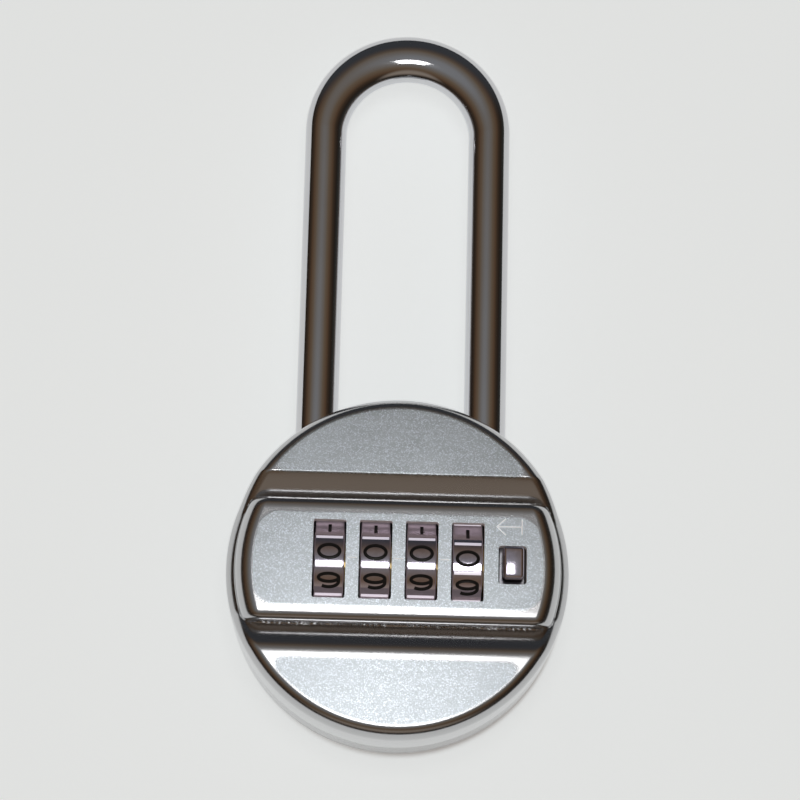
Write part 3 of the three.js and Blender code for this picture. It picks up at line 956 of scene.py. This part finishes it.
def arc(centre, radii, start, end, steps=10):
    angles = [math.radians(start + (end - start) * i / steps) for i in range(steps + 1)]
    return [(centre[0] + radii[0] * math.cos(a), centre[1] + radii[1] * math.sin(a)) for a in angles]


# Strokes of each digit in a box from -1 to 1 both ways.
digitStrokes = [
    [arc((0, 0), (1, 1), 90, 450, 28)],
    [[(0, -1), (0, 1)]],
    [arc((0, 0.4), (1, 0.6), 165, -35) + [(-1, -1), (1, -1)]],
    [arc((0, 0.5), (0.85, 0.5), 160, -90) + arc((0, -0.5), (1, 0.5), 90, -165)],
    [[(0.55, -1), (0.55, 1), (-1, -0.35), (1, -0.35)]],
    [[(0.85, 1), (-0.8, 1), (-0.8, 0.15)] + arc((0, -0.35), (1, 0.65), 120, -155, 14)],
    [arc((0, 0.2), (0.95, 0.8), 50, 180) + arc((0, -0.4), (0.95, 0.6), 180, 530, 24)],
    [[(-1, 1), (1, 1), (-0.3, -1)]],
    [arc((0, 0.5), (0.8, 0.5), -90, 265, 22), arc((0, -0.45), (1, 0.55), 90, 445, 24)],
    [arc((0, -0.2), (0.95, 0.8), 230, 360) + arc((0, 0.4), (0.95, 0.6), 0, 350, 24)],
]


def digitCutter(index, centre, restTurn):
    form = dialForm
    width, height = form["digitHalfWidth"], form["digitHalfHeight"]
    level = facetReach + form["strokeLift"]
    lines = []
    for number, strokes in enumerate(digitStrokes):
        turn = Matrix.Rotation(-math.radians(restTurn + facetAngle * number), 3, "X")
        for stroke in strokes:
            flat = [Vector((x * width, y * height, level)) for x, y in stroke]
            lines.append([tuple(centre + turn @ point) for point in flat])
    return tubeSolid(f"digits{index}", lines, form["strokeRadius"], finishes["paint"])


# The number faces bulge a little, so their shading follows the angle round the dial.
def roundShading(dial, centre):
    mesh = dial.data
    normals = [Vector() for _ in mesh.loops]
    for face in mesh.polygons:
        middle = face.center - centre
        outward = Vector((0, middle.y, middle.z)).normalized()
        outside = (face.center - centre).dot(face.normal)
        if outward.dot(face.normal) < 0.85 or outside < facetReach - 0.03 * mm:
            continue
        for corner in face.loop_indices:
            place = mesh.vertices[mesh.loops[corner].vertex_index].co - centre
            roundWay = Vector((0, place.y, place.z)).normalized()
            normals[corner] = face.normal.lerp(roundWay, dialForm["bulge"]).normalized()
    mesh.normals_split_custom_set(normals)


def numberDial(index):
    form = dialForm
    centre = dialCentres[index]
    restTurn = form["restTurns"][index]
    shape = rod(form["cornerRadius"], form["width"], (0, 0, 0), "Y", digitCount)
    corner = max(shape.verts, key=lambda v: (v.co.z, v.co.y)).co
    cornerAngle = math.degrees(math.atan2(corner.y, corner.z))
    spare = restTurn + facetAngle / 2 - cornerAngle
    bmesh.ops.rotate(shape, matrix=Matrix.Rotation(-math.radians(spare), 3, "X"), verts=shape.verts)
    bmesh.ops.translate(shape, vec=centre, verts=shape.verts)
    roundEdges(shape, shape.edges[:], form["ridgeRound"], 3)
    # the rounded edges between two number faces take the ridge's painted highlight
    for face in shape.faces:
        turned = math.degrees(math.atan2(face.normal.y, face.normal.z)) - restTurn
        offFacet = abs((turned + facetAngle / 2) % facetAngle - facetAngle / 2)
        if abs(face.normal.x) < 0.1 and offFacet > 3:
            face.material_index = 2
    bore = rod(form["bore"], 2 * form["width"], centre, "Y", 48)
    name = f"dial_{index + 1}"
    materials = [finishes["dial"], finishes["paint"], finishes["ridge"]]
    dial = pieceFrom(shape, name + "Fine", materials, name, [name])
    cutWith(dial, [cutterFrom(bore, "bore", "dial")])
    cutWith(dial, [digitCutter(index, centre, restTurn)], solver="EXACT")
    smoothed(dial, 25)
    roundShading(dial, centre)


for index in range(len(dialCentres)):
    numberDial(index)
print("stage: dials")


# ---- Release button ----

buttonForm = {"size": (3.1 * mm, 4.9 * mm), "round": 0.55 * mm, "crown": 0.15 * mm}


def releaseButton():
    low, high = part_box("release_button")
    middle = (low + high) / 2
    width, height = buttonForm["size"]
    shape = roundedBlock(
        (middle.x - width / 2, middle.y - height / 2, low.z),
        (middle.x + width / 2, middle.y + height / 2, high.z - buttonForm["crown"]),
        buttonForm["round"], 5, topToo=True,
    )
    for share in (-0.3, -0.15, 0, 0.15, 0.3):
        rowOfEdges(shape, (0, middle.y + share * height, 0), (0, 1, 0))
    # the top is crowned from one end to the other
    for vert in shape.verts:
        if vert.co.z > faceZ:
            lift = 1 - ((vert.co.y - middle.y) / (height / 2)) ** 2
            vert.co.z += buttonForm["crown"] * max(0.0, lift)
    turnOutward(shape)
    button = pieceFrom(
        shape, "releaseButtonFine", [finishes["dial"]], "release", ["release_button"],
    )
    smoothed(button, 35)


releaseButton()
print("stage: release button")


# ---- Button spring ----

springForm = {"wire": 0.18 * mm, "turns": 6, "stepsPerTurn": 24, "sides": 10}


# A coil of wire wound along the length of the spring's box.
def buttonSpring():
    form = springForm
    low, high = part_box("button_spring")
    middle = (low + high) / 2
    wire = form["wire"]
    radius = (high.y - low.y) / 2 - wire
    steps = form["turns"] * form["stepsPerTurn"]
    shape = bmesh.new()
    bmesh.ops.create_circle(shape, segments=form["sides"], radius=wire)
    bmesh.ops.translate(shape, vec=(low.x + wire, middle.y + radius, middle.z), verts=shape.verts)
    bmesh.ops.spin(
        shape, geom=[*shape.verts, *shape.edges], cent=middle, axis=(1, 0, 0),
        dvec=((high.x - low.x - 2 * wire) / steps, 0, 0), angle=2 * math.pi * form["turns"], steps=steps,
    )
    bmesh.ops.holes_fill(shape, edges=[e for e in shape.edges if len(e.link_faces) == 1], sides=0)
    turnOutward(shape)
    spring = pieceFrom(
        shape, "buttonSpringFine", [finishes["spring_steel"]], "casing", ["button_spring"],
    )
    smoothed(spring, 40)
    travel = max(abs(limit) for limit in joints["release_slide"]["range_m"])
    1 - travel / (high.x - low.x)
    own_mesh(spring)


buttonSpring()
print("stage: button spring")
